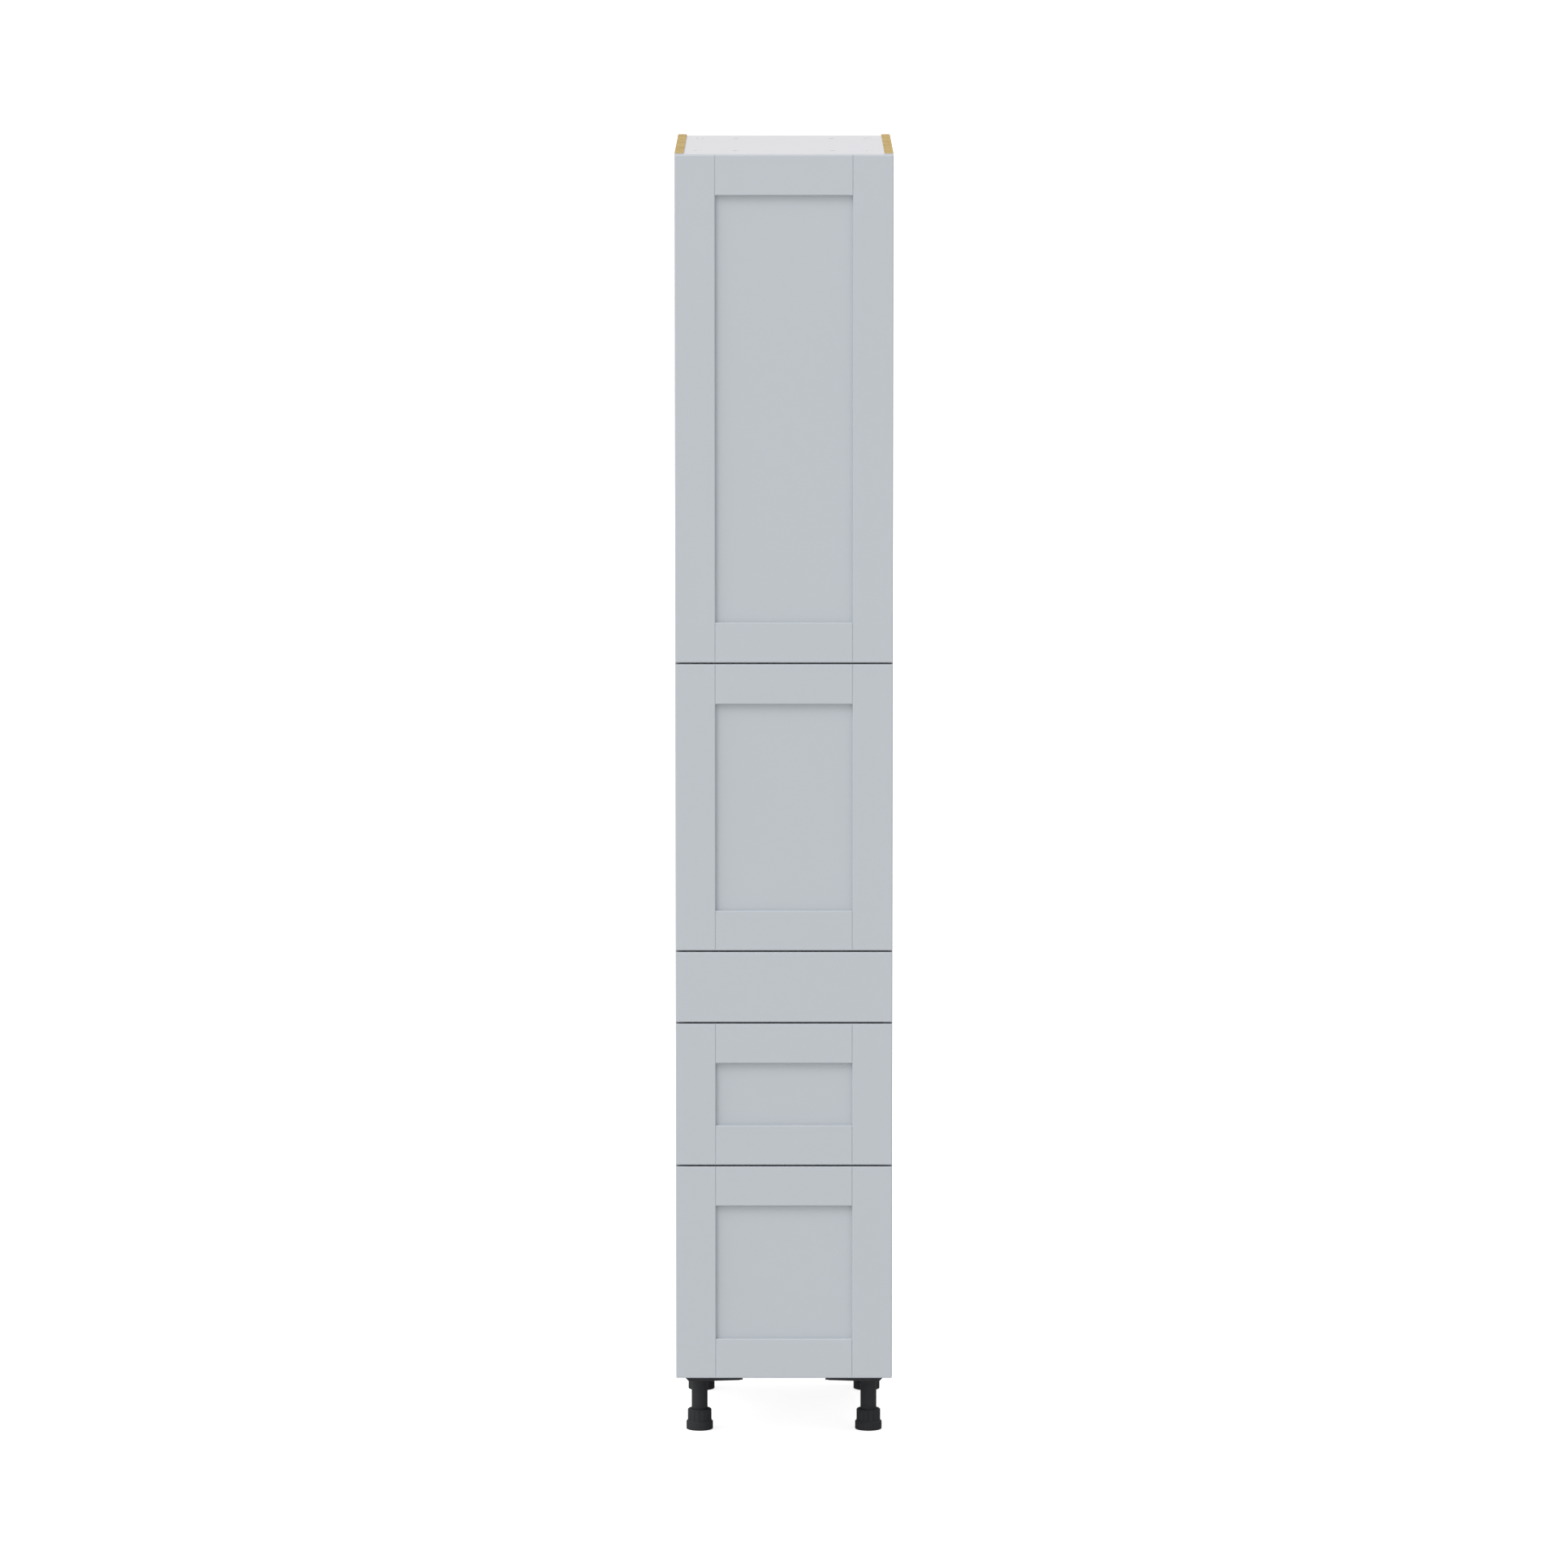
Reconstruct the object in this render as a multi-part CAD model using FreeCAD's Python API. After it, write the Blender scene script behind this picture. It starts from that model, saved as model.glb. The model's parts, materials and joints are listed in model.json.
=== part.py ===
"""Tall pantry cabinet: two hinged doors above three drawers, on four levelling feet.

Millimetres, +Z up.  The origin is on the floor under the middle of the cabinet.
+X is to the right as seen from the front, and the fronts face -Y.
"""
import FreeCAD
import Part
import math
import os

Vector = FreeCAD.Vector
UP = Vector(0, 0, 1)
BACKWARD = Vector(0, 1, 0)
LEFT, RIGHT = -1, 1

# ---- cabinet ---------------------------------------------------------------
MODULE = 127.0                  # height of one front module
CABINET_WIDTH = 381.0
CABINET_DEPTH = 610.0           # face of the fronts to the rear edge
LEG_HEIGHT = 114.3              # floor to the underside of the bottom panel
FRONT_MODULES = {               # fronts from the bottom up, with their heights in modules
    "bottom_drawer": 3,
    "middle_drawer": 2,
    "top_drawer": 1,
    "lower_door": 4,
    "upper_door": 7,
}

SEAT_FIT = 0.05                 # radial play of pins and pegs in their holes

# ---- carcass boards --------------------------------------------------------
SIDE_T = 16.0
DECK_T = 16.0                   # top, bottom and fixed shelves
SHELF_T = 16.0                  # adjustable shelves
TOP_RECESS = 1.5                # top panel below the tops of the sides
BACK_T = 3.0
BACK_GROOVE_DEPTH = 7.0
BACK_FLOAT = 0.5                # gap between the back's edges and the groove floors
RAIL_T = 16.0
RAIL_HEIGHT = 80.0
RAIL_DROP = 40.0                # top rail below the top of the sides
WALL_HOLE_R = 2.75
WALL_HOLE_SPACING = 240.0
SHELF_SETBACK = 20.0
SHELF_SIDE_GAP = 1.0

# ---- shelf pins ------------------------------------------------------------
PIN_HOLE_R = 2.5
PIN_HOLE_DEPTH = 10.0
PIN_STEM_L = 9.0
PIN_HOLE_PITCH = 32.0
PIN_ROW_INSET = 37.0            # hole rows in from the front edge and from the back panel
PIN_PLATE = 1.8
PIN_LEDGE = 9.0
PIN_WIDTH = 10.0
PIN_DROP = 5.0                  # stem axis below the shelf

# ---- cam fittings ----------------------------------------------------------
CAM_R = 7.5
CAM_DEPTH = 12.7
CAM_SUNK = 0.5
CAM_INSET = 24.5                # cam axis from the inner face of the side
CAM_FIT = 0.1
CAM_BOLT_R = 3.0
CAM_BOLT_IN_SIDE = 10.0
PEG_R = 5.0
PEG_L = 10.0
PEG_HOLE_DEPTH = 11.0
PEG_OFFSET = 65.0               # peg hole from the leg axis, towards the middle

# ---- levelling legs --------------------------------------------------------
LEG_INSET = 40.5                # leg axis in from the outer face of a side
FRONT_LEG_SETBACK = 128.0       # front leg axis behind the face of the fronts
REAR_LEG_INSET = 107.0          # rear leg axis in from the rear edge
SOCKET_T = 9.0                  # socket plate at its collar
SOCKET_TOE_T = 7.4              # where its slope meets the lip at its inboard end
SOCKET_LIP_T = 6.8
SOCKET_LIP_W = 5.0
SOCKET_BEVEL = 5.4              # at its outboard end
SOCKET_OUTBOARD = 24.0          # plate beyond the leg axis, towards the side
SOCKET_INBOARD = 77.0
SOCKET_FRONT = 101.0            # plate in front of the leg axis
SOCKET_REAR = 30.0
COLLAR_R = 17.0
COLLAR_H = 3.0
SPIGOT_H = 8.0
RIB_T = 3.0
TUBE_R = 14.2
TUBE_BORE_R = 8.05
TUBE_FIT = 0.05
STEM_R = 8.0
STEM_HEADROOM = 3.3             # stem's head below the socket's spigot
FOOT_R = 23.7
FOOT_H = 16.3
FOOT_ROUND = 1.5
FOOT_CHAMFER = 2.2
SLEEVE_R = 21.1
SLEEVE_H = 20.6
SLEEVE_CUP_DEPTH = 7.0          # recess that the tube's end stands in
SLEEVE_CUP_GAP = 1.2
SLEEVE_CHAMFER = 1.5
FLUTES = 14
FLUTE_R = 1.4
FLUTE_DEPTH = 1.0

# ---- fronts ----------------------------------------------------------------
FRONT_T = 19.0
FRONT_GAP = 3.0                 # between two fronts, one above the other
FRONT_REVEAL = 0.5              # front narrower than the cabinet, each side
FRONT_STANDOFF = 1.5            # back of a front to the carcass edge
FRAME_W = 70.0                  # width of stiles and rails
INSET_T = 6.0
INSET_RECESS = 9.0
INSET_GROOVE = 10.0
INSET_FLOAT = 1.0               # gap at the floor of the groove
EDGE_ROUND = 2.0
JOINT_CHAMFER = 1.2

# ---- concealed hinges ------------------------------------------------------
# In a hinge's plan, u runs from the door's hinged edge and v from the door's back,
# both into the cabinet.
HINGE_INSET = 95.0              # hinge above the foot of a door, or below its head
ARM_PIVOT = (36.59, 2.79)
CUP_PIVOT = (11.30, -6.16)
CUP_ELBOW = (14.62, -8.40)      # the link's bends, on the floor of the cup's pocket
ARM_ELBOW = (34.59, -8.00)
HINGE_PIN_R = 1.25
HINGE_FIT = 0.06
LINK_R = 1.7                    # half the breadth of the link's strap
LINK_EYE_R = 2.4
LINK_HALF = 5.3                 # half the link's height
LINK_GAUGE = 1.8
LINK_WEB = 1.4
CUP_EDGE = 6.0                  # cup bore in from the door's edge
CUP_R = 17.5
CUP_DEPTH = 12.0
CUP_FIT = 0.1
CUP_RIM_R = 19.0
CUP_RIM_T = 0.4
CUP_WING_T = 1.2
CUP_WING_SPAN = 56.0
CUP_WING_START = 3.0            # wings beyond the middle of the cup, away from the door's edge
CUP_WING_END = 15.0
POCKET_REACH = 14.9             # pocket each side of the cup's middle
POCKET_FLOOR = -10.6
POCKET_NOTCH = -3.2             # foot of the notch that the open link lies in
POCKET_HALF = 7.4
POCKET_RELIEF = 2.0             # wings cut back from the pocket
CUP_PIN_GRIP = 1.6
ARM_HALF = 6.8
ARM_GAUGE = 1.2
ARM_HEIGHT = 13.0
ARM_NECK_V = 9.0                # where the arm's channel begins, behind the door
ARM_EYE_R = 2.6
PLATE_T = 3.0
PLATE_RIB = 7.0
PLATE_LENGTH = 44.0
PLATE_SPAN = 48.0
PLATE_WING = 16.0
PLATE_SCREW_V = 37.0            # plate's middle behind the carcass front

# ---- drawers ---------------------------------------------------------------
DRAWER_REAR_GAP = 32.0          # drawer's rear end to the back panel
RUNNER_SETBACK = 3.0            # runner behind the carcass front
RUNNER_REAR_GAP = 15.5          # runner's rear end to the drawer's
RUNNER_RISE = 40.0              # runner axis above the module line
RUNNER_HEIGHT = 38.0
RUNNER_WIDTH = 12.5
RUNNER_GAUGE = 1.2
RUNNER_GAP = 0.3                # running gap between nested members
RUNNER_OFFSET = 1.5             # extra web gap inside each member
WALL_W = 13.0                   # double-walled drawer side
WALL_GAUGE = 1.0
WALL_ROUND = 3.5
WALL_END_PLATE = 2.0
LEDGE_W = 12.0
LEDGE_T = 1.2
DRAWER_BOARD_T = 16.0
DRAWER_BOARD_FIT = 0.5
TOP_WALL = 80.0                 # heights of the drawers' sides
MIDDLE_WALL = 150.0
BOTTOM_WALL = 240.0
BACK_BOARD_DROP = 2.0

# ---- worked out from the above ---------------------------------------------
FRONTS = list(FRONT_MODULES)
FRONT_ZS = {name: LEG_HEIGHT + MODULE * sum(FRONT_MODULES[below] for below in FRONTS[:k])
            for k, name in enumerate(FRONTS)}
BASE_Z = LEG_HEIGHT
TOP_Z = BASE_Z + MODULE * sum(FRONT_MODULES.values())

FACE_Y = -CABINET_DEPTH / 2
FRONT_BACK_Y = FACE_Y + FRONT_T
CARCASS_Y = FRONT_BACK_Y + FRONT_STANDOFF
REAR_Y = CABINET_DEPTH / 2
BACK_Y = REAR_Y - RAIL_T - BACK_T
INNER_X = CABINET_WIDTH / 2 - SIDE_T
FRONT_X = CABINET_WIDTH / 2 - FRONT_REVEAL
LEG_X = CABINET_WIDTH / 2 - LEG_INSET
LEG_YS = (FACE_Y + FRONT_LEG_SETBACK, REAR_Y - REAR_LEG_INSET)
DRAWER_DEPTH = BACK_Y - DRAWER_REAR_GAP - FRONT_BACK_Y
RUNNER_LENGTH = FRONT_BACK_Y + DRAWER_DEPTH - RUNNER_REAR_GAP - (CARCASS_Y + RUNNER_SETBACK)


def box(x0, x1, y0, y1, z0, z1):
    """A board between two corners, given in either order along each axis."""
    low = Vector(min(x0, x1), min(y0, y1), min(z0, z1))
    return Part.makeBox(abs(x1 - x0), abs(y1 - y0), abs(z1 - z0), low)


def rod(radius, start, end):
    """A round bar between two points."""
    return Part.makeCylinder(radius, (end - start).Length, start, end - start)


def prism(points, travel):
    """A flat outline carried along a straight travel."""
    return Part.Face(Part.makePolygon(points + points[:1])).extrude(travel)


def union(shapes):
    return shapes[0].multiFuse(shapes[1:]).removeSplitter()


def without(shape, tools):
    """The shape with all the tools taken out of it."""
    return shape.cut(Part.makeCompound(tools)) if tools else shape


def save(name, solids):
    """Write one node, of one solid or of a group of like solids."""
    shape = solids[0] if len(solids) == 1 else Part.makeCompound(solids)
    shape.exportStep("parts/" + name + ".step")


# ---- carcass ---------------------------------------------------------------
DECK_ZS = {
    "bottom_panel": BASE_Z,
    "fixed_shelf_lower": FRONT_ZS["lower_door"] - DECK_T / 2,
    "fixed_shelf_upper": FRONT_ZS["upper_door"] - DECK_T / 2,
    "top_panel": TOP_Z - TOP_RECESS - DECK_T,
}
# The adjustable shelves stand on whole steps of the pin holes above their bay's floor.
SHELF_STEPS = {
    "shelf_lower_bay": ("fixed_shelf_lower", 8),
    "shelf_upper_bay_low": ("fixed_shelf_upper", 9),
    "shelf_upper_bay_high": ("fixed_shelf_upper", 18),
}
SHELF_ZS = {name: DECK_ZS[floor] + DECK_T + steps * PIN_HOLE_PITCH
            for name, (floor, steps) in SHELF_STEPS.items()}
PIN_ROWS = (CARCASS_Y + PIN_ROW_INSET, BACK_Y - PIN_ROW_INSET)


def side_panel(side):
    """A side with its back groove, its pin holes and its cam bolt holes."""
    inner = side * INNER_X
    panel = box(inner, side * CABINET_WIDTH / 2, CARCASS_Y, REAR_Y, BASE_Z, TOP_Z)
    floor = inner + side * BACK_GROOVE_DEPTH
    cuts = [box(inner, floor, BACK_Y, BACK_Y + BACK_T, BASE_Z, TOP_Z)]
    for shelf_z in SHELF_ZS.values():
        for step in (-1, 0, 1):
            for y in PIN_ROWS:
                mouth = Vector(inner, y, shelf_z - PIN_DROP + step * PIN_HOLE_PITCH)
                cuts.append(rod(PIN_HOLE_R, mouth, mouth + Vector(side * PIN_HOLE_DEPTH, 0, 0)))
    for deck_z in DECK_ZS.values():
        for y in LEG_YS:
            mouth = Vector(inner, y, deck_z + DECK_T / 2)
            cuts.append(rod(CAM_BOLT_R, mouth, mouth + Vector(side * CAM_BOLT_IN_SIDE, 0, 0)))
    return without(panel, cuts)


def cam_side(name):
    """Which face of a board its cams are let into: +1 from above, -1 from below."""
    return 1 if name == "top_panel" else -1


def cam_mouth(name, side, y):
    """Middle of a cam pocket's mouth on the face of its board."""
    z = DECK_ZS[name] + (DECK_T if cam_side(name) > 0 else 0)
    return Vector(side * (INNER_X - CAM_INSET), y, z)


def cam_bolt_ends(name, side, y):
    """From the cam's rim to the blind end of the hole in the side."""
    z = DECK_ZS[name] + DECK_T / 2
    return (Vector(side * (INNER_X - CAM_INSET + CAM_R), y, z),
            Vector(side * (INNER_X + CAM_BOLT_IN_SIDE), y, z))


def deck(name):
    """A board between the sides, with cam pockets, bolt bores and peg holes."""
    z = DECK_ZS[name]
    board = box(-INNER_X, INNER_X, CARCASS_Y, BACK_Y, z, z + DECK_T)
    into = UP * -cam_side(name)
    cuts = []
    for side in (LEFT, RIGHT):
        for y in LEG_YS:
            mouth = cam_mouth(name, side, y)
            cuts.append(rod(CAM_R, mouth, mouth + into * CAM_DEPTH))
            rim, blind_end = cam_bolt_ends(name, side, y)
            cuts.append(rod(CAM_BOLT_R, Vector(mouth.x, y, rim.z), blind_end))
            if name in ("top_panel", "bottom_panel"):
                peg = Vector(side * (LEG_X - PEG_OFFSET), y, mouth.z)
                cuts.append(rod(PEG_R, peg, peg + into * PEG_HOLE_DEPTH))
    return without(board, cuts)


def cam_fittings():
    """The cams in their pockets, and the bolts that they draw in."""
    cams, bolts = [], []
    for name in DECK_ZS:
        into = UP * -cam_side(name)
        for side in (LEFT, RIGHT):
            for y in LEG_YS:
                mouth = cam_mouth(name, side, y)
                cams.append(rod(CAM_R - CAM_FIT, mouth + into * CAM_SUNK, mouth + into * CAM_DEPTH))
                bolts.append(rod(CAM_BOLT_R - CAM_FIT, *cam_bolt_ends(name, side, y)))
    return cams, bolts


RAIL_ZS = (BASE_Z, DECK_ZS["fixed_shelf_upper"] - RAIL_HEIGHT / 2, TOP_Z - RAIL_DROP - RAIL_HEIGHT)
WALL_HOLE_Z = RAIL_ZS[-1] + RAIL_HEIGHT / 2


def wall_holes():
    """Clearance for the two wall screws, through the back panel and the top rail."""
    return [rod(WALL_HOLE_R, Vector(x, BACK_Y, WALL_HOLE_Z), Vector(x, REAR_Y, WALL_HOLE_Z))
            for x in (-WALL_HOLE_SPACING / 2, WALL_HOLE_SPACING / 2)]


def back_panel():
    half = INNER_X + BACK_GROOVE_DEPTH - BACK_FLOAT
    top = TOP_Z - TOP_RECESS
    return without(box(-half, half, BACK_Y, BACK_Y + BACK_T, BASE_Z, top), wall_holes())


def rear_rails():
    """Three stiffening rails behind the back panel; the top one takes the wall screws."""
    rails = [box(-INNER_X, INNER_X, REAR_Y - RAIL_T, REAR_Y, z, z + RAIL_HEIGHT) for z in RAIL_ZS]
    rails[-1] = without(rails[-1], wall_holes())
    return rails


def adjustable_shelf(z):
    half = INNER_X - SHELF_SIDE_GAP
    return box(-half, half, CARCASS_Y + SHELF_SETBACK, BACK_Y - SHELF_SIDE_GAP, z, z + SHELF_T)


def shelf_pin(side, y, shelf_z):
    """A pin with a gusseted ledge: its stem sits in the side, the shelf on its ledge."""
    def corner(away, below):
        return Vector(side * (INNER_X - away), y - PIN_WIDTH / 2, shelf_z - below)

    foot = 2 * PIN_DROP
    ledge = prism([corner(0, 0), corner(PIN_LEDGE, 0), corner(PIN_LEDGE, PIN_PLATE),
                   corner(PIN_PLATE, foot), corner(0, foot)], BACKWARD * PIN_WIDTH)
    root = Vector(side * INNER_X, y, shelf_z - PIN_DROP)
    stem = rod(PIN_HOLE_R - SEAT_FIT, root, root + Vector(side * PIN_STEM_L, 0, 0))
    return union([ledge, stem])


# ---- levelling legs --------------------------------------------------------
SOCKET_BASE_Z = BASE_Z - SOCKET_T
STEM_TOP = SOCKET_BASE_Z - SPIGOT_H - STEM_HEADROOM
SLEEVE_TOP = FOOT_H + SLEEVE_H
TUBE_BASE = SLEEVE_TOP - SLEEVE_CUP_DEPTH


def leg_socket(side, y):
    """A plate under the bottom panel, sloped inboard, with a peg, collar, ribs and spigot."""
    x = side * LEG_X

    def at(inboard, dy=0.0, z=SOCKET_BASE_Z):
        return Vector(x - side * inboard, y + dy, z)

    bevel, lip = SOCKET_BEVEL - SOCKET_OUTBOARD, SOCKET_INBOARD - SOCKET_LIP_W
    toe_z, lip_z = BASE_Z - SOCKET_TOE_T, BASE_Z - SOCKET_LIP_T
    outline = [(-SOCKET_OUTBOARD, BASE_Z), (-SOCKET_OUTBOARD, SOCKET_BASE_Z + SOCKET_BEVEL),
               (bevel, SOCKET_BASE_Z), (COLLAR_R, SOCKET_BASE_Z), (lip, toe_z), (lip, lip_z),
               (SOCKET_INBOARD, lip_z), (SOCKET_INBOARD, BASE_Z)]
    plate = prism([at(inboard, -SOCKET_FRONT, z) for inboard, z in outline],
                  BACKWARD * (SOCKET_FRONT + SOCKET_REAR))
    foot = at(0, 0, SOCKET_BASE_Z - COLLAR_H)
    collar = rod(COLLAR_R, foot, at(0))
    peg = rod(PEG_R - SEAT_FIT, at(PEG_OFFSET, 0, BASE_Z), at(PEG_OFFSET, 0, BASE_Z + PEG_L))
    ribs = []
    for tip in (at(lip, 0, toe_z), at(bevel), at(0, -SOCKET_FRONT), at(0, SOCKET_REAR)):
        across = Vector(RIB_T, 0, 0) if tip.x == x else BACKWARD * RIB_T
        rib = prism([at(0, 0, BASE_Z), Vector(tip.x, tip.y, BASE_Z), tip, foot], across)
        rib.translate(across * -0.5)
        ribs.append(rib)
    seat = rod(TUBE_R + TUBE_FIT, foot, at(0))
    body = union([plate, collar, peg] + ribs).cut(seat)
    spigot = rod(TUBE_BORE_R - TUBE_FIT, at(0, 0, SOCKET_BASE_Z - SPIGOT_H), at(0, 0, BASE_Z))
    return union([body, spigot])


def leg_tube(side, y):
    """A plain tube from the grip sleeve up to its socket plate."""
    foot, head = Vector(side * LEG_X, y, TUBE_BASE), Vector(side * LEG_X, y, SOCKET_BASE_Z)
    return rod(TUBE_R, foot, head).cut(rod(TUBE_BORE_R, foot, head))


def foot_disc(side, y):
    """The foot and its stem, turned from one profile with a rounded heel."""
    heel = FOOT_ROUND * (1 - math.sqrt(0.5))
    points = [(0, 0), (FOOT_R - FOOT_ROUND, 0), (FOOT_R, FOOT_ROUND), (FOOT_R, FOOT_H - FOOT_CHAMFER),
              (FOOT_R - FOOT_CHAMFER, FOOT_H), (STEM_R, FOOT_H), (STEM_R, STEM_TOP), (0, STEM_TOP)]
    at = [Vector(r, 0, z) for r, z in points]
    round_heel = Part.Arc(at[1], Vector(FOOT_R - heel, 0, heel), at[2]).toShape()
    lines = [Part.makeLine(a, b) for a, b in zip(at, at[1:] + at[:1])]
    lines[1] = round_heel
    turned = Part.Face(Part.Wire(lines)).revolve(Vector(0, 0, 0), UP, 360)
    turned.translate(Vector(side * LEG_X, y, 0))
    return turned


def grip_sleeve(side, y):
    """A fluted ring that turns on the stem and carries the tube's end in its recess."""
    foot, head = Vector(0, 0, FOOT_H), Vector(0, 0, SLEEVE_TOP)
    waist = SLEEVE_R - SLEEVE_CHAMFER
    body = rod(SLEEVE_R, foot, head - UP * SLEEVE_CHAMFER)
    rim = Part.makeCone(SLEEVE_R, waist, SLEEVE_CHAMFER, head - UP * SLEEVE_CHAMFER)
    cuts = [rod(TUBE_BORE_R, foot, head),
            rod(TUBE_R + SLEEVE_CUP_GAP, head - UP * SLEEVE_CUP_DEPTH, head)]
    reach = SLEEVE_R + FLUTE_R - FLUTE_DEPTH
    for k in range(FLUTES):
        turn = 2 * math.pi * k / FLUTES
        side_step = Vector(reach * math.sin(turn), -reach * math.cos(turn), 0)
        cuts.append(rod(FLUTE_R, foot + side_step, head + side_step))
    sleeve = without(union([body, rim]), cuts)
    sleeve.translate(Vector(side * LEG_X, y, 0))
    return sleeve


# ---- fronts ----------------------------------------------------------------
INSET_Y = FACE_Y + INSET_RECESS


def slab_front(z0, z1):
    """A plain front with all its face edges rounded."""
    slab = box(-FRONT_X, FRONT_X, FACE_Y, FRONT_BACK_Y, z0, z1)
    face_edges = [e for e in slab.Edges if all(abs(v.Y - FACE_Y) < EDGE_ROUND for v in e.Vertexes)]
    return slab.makeFillet(EDGE_ROUND, face_edges)


def stile(side, z0, z1):
    """An upright of a framed front, grooved and chamfered on its inner edge."""
    outer, inner = side * FRONT_X, side * (FRONT_X - FRAME_W)

    def at(x, y):
        return Vector(x, y, z0)

    groove_floor = inner + side * INSET_GROOVE
    outline = [at(outer, FACE_Y), at(outer, FRONT_BACK_Y), at(inner, FRONT_BACK_Y),
               at(inner, INSET_Y + INSET_T), at(groove_floor, INSET_Y + INSET_T),
               at(groove_floor, INSET_Y), at(inner, INSET_Y), at(inner, FACE_Y + JOINT_CHAMFER),
               at(inner + side * JOINT_CHAMFER, FACE_Y)]
    return prism(outline, UP * (z1 - z0))


def rail(z_outer, z_inner):
    """A cross member of a framed front, tenoned into the stiles' grooves."""
    half = FRONT_X - FRAME_W
    out = 1 if z_outer > z_inner else -1

    def at(y, z):
        return Vector(-half, y, z)

    groove_floor = z_inner + out * INSET_GROOVE
    outline = [at(FACE_Y, z_outer), at(FRONT_BACK_Y, z_outer), at(FRONT_BACK_Y, z_inner),
               at(INSET_Y + INSET_T, z_inner), at(INSET_Y + INSET_T, groove_floor),
               at(INSET_Y, groove_floor), at(INSET_Y, z_inner), at(FACE_Y + JOINT_CHAMFER, z_inner),
               at(FACE_Y, z_inner + out * JOINT_CHAMFER)]
    bar = prism(outline, Vector(2 * half, 0, 0))
    tenons, bevels = [], []
    for side in (LEFT, RIGHT):
        end = side * half
        tenons.append(box(end, end + side * INSET_GROOVE, INSET_Y, INSET_Y + INSET_T,
                          groove_floor, z_outer))
        corner = Vector(end, FACE_Y, z_inner)
        bevels.append(prism([corner, corner - Vector(side * JOINT_CHAMFER, 0, 0),
                             corner + BACKWARD * JOINT_CHAMFER], UP * (z_outer - z_inner)))
    return union([without(bar, bevels)] + tenons)


def framed_front(z0, z1):
    """Stiles and rails rounded as one front, and their inset panel."""
    rounded = slab_front(z0, z1)
    half = FRONT_X - FRAME_W + INSET_GROOVE - INSET_FLOAT
    sill, lintel = z0 + FRAME_W, z1 - FRAME_W
    tuck = INSET_GROOVE - INSET_FLOAT
    inset = box(-half, half, INSET_Y, INSET_Y + INSET_T, sill - tuck, lintel + tuck)
    return {
        "stiles": [stile(side, z0, z1).common(rounded) for side in (LEFT, RIGHT)],
        "rails": [rail(z0, sill).common(rounded), rail(z1, lintel).common(rounded)],
        "inset_panel": [inset],
    }


def front_span(name):
    """Lower and upper edge of a front, half a gap inside its modules."""
    foot = FRONT_ZS[name]
    return foot + FRONT_GAP / 2, foot + FRONT_MODULES[name] * MODULE - FRONT_GAP / 2


# ---- drawers ---------------------------------------------------------------
def inward(side, distance, z, y=0.0):
    """A point so far in from the inner face of a side."""
    return Vector(side * (INNER_X - distance), y, z)


def channel(side, z, half_height, web, reach):
    """A runner member: a web between two distances, with flanges that reach to a third."""
    web_back, web_face = web
    turn = RUNNER_GAUGE
    y = CARCASS_Y + RUNNER_SETBACK
    outline = [(web_back, -half_height), (reach, -half_height), (reach, turn - half_height),
               (web_face, turn - half_height), (web_face, half_height - turn),
               (reach, half_height - turn), (reach, half_height), (web_back, half_height)]
    points = [inward(side, d, z + dz, y) for d, dz in outline]
    return prism(points, BACKWARD * RUNNER_LENGTH)


MIDDLE_WEB = RUNNER_GAUGE + RUNNER_GAP + RUNNER_OFFSET
STEP = RUNNER_GAUGE + RUNNER_GAP


def runner_rail(side, z):
    return channel(side, z, RUNNER_HEIGHT / 2, (0, RUNNER_GAUGE),
                   RUNNER_WIDTH - STEP - RUNNER_OFFSET)


def middle_runner(side, z):
    return channel(side, z, RUNNER_HEIGHT / 2 - STEP, (MIDDLE_WEB, MIDDLE_WEB + RUNNER_GAUGE),
                   RUNNER_WIDTH - STEP)


def drawer_runner(side, z):
    return channel(side, z, RUNNER_HEIGHT / 2 - 2 * STEP,
                   (RUNNER_WIDTH, RUNNER_WIDTH - RUNNER_GAUGE), MIDDLE_WEB + STEP + RUNNER_OFFSET)


def wall_outline(side, z0, z1, inset, ledge):
    """Closed outline of a drawer side with a rounded head, and its ledge if it has one."""
    near, far = RUNNER_WIDTH + inset, RUNNER_WIDTH + WALL_W - inset
    r = WALL_ROUND - inset
    soft = r * (1 - math.sqrt(0.5))

    def at(distance, z):
        return inward(side, distance, z, FRONT_BACK_Y)

    path = [at(near, z1 - r), at(near, z0)]
    if ledge:
        path += [at(far + LEDGE_W, z0), at(far + LEDGE_W, z0 + LEDGE_T), at(far, z0 + LEDGE_T)]
    else:
        path.append(at(far, z0))
    path.append(at(far, z1 - r))
    edges = [Part.makeLine(a, b) for a, b in zip(path, path[1:])]
    edges.append(Part.Arc(path[-1], at(far - soft, z1 - soft), at(far - r, z1)).toShape())
    edges.append(Part.makeLine(at(far - r, z1), at(near + r, z1)))
    edges.append(Part.Arc(at(near + r, z1), at(near + soft, z1 - soft), path[0]).toShape())
    return Part.Face(Part.Wire(edges))


def drawer_wall(side, z0, height):
    """A hollow steel drawer side, closed at the front by its fixing plate."""
    shell = wall_outline(side, z0, z0 + height, 0, True).extrude(BACKWARD * DRAWER_DEPTH)
    cavity = wall_outline(side, z0 + LEDGE_T, z0 + height - WALL_GAUGE, WALL_GAUGE, False)
    cavity.translate(BACKWARD * WALL_END_PLATE)
    return shell.cut(cavity.extrude(BACKWARD * (DRAWER_DEPTH - WALL_END_PLATE)))


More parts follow.
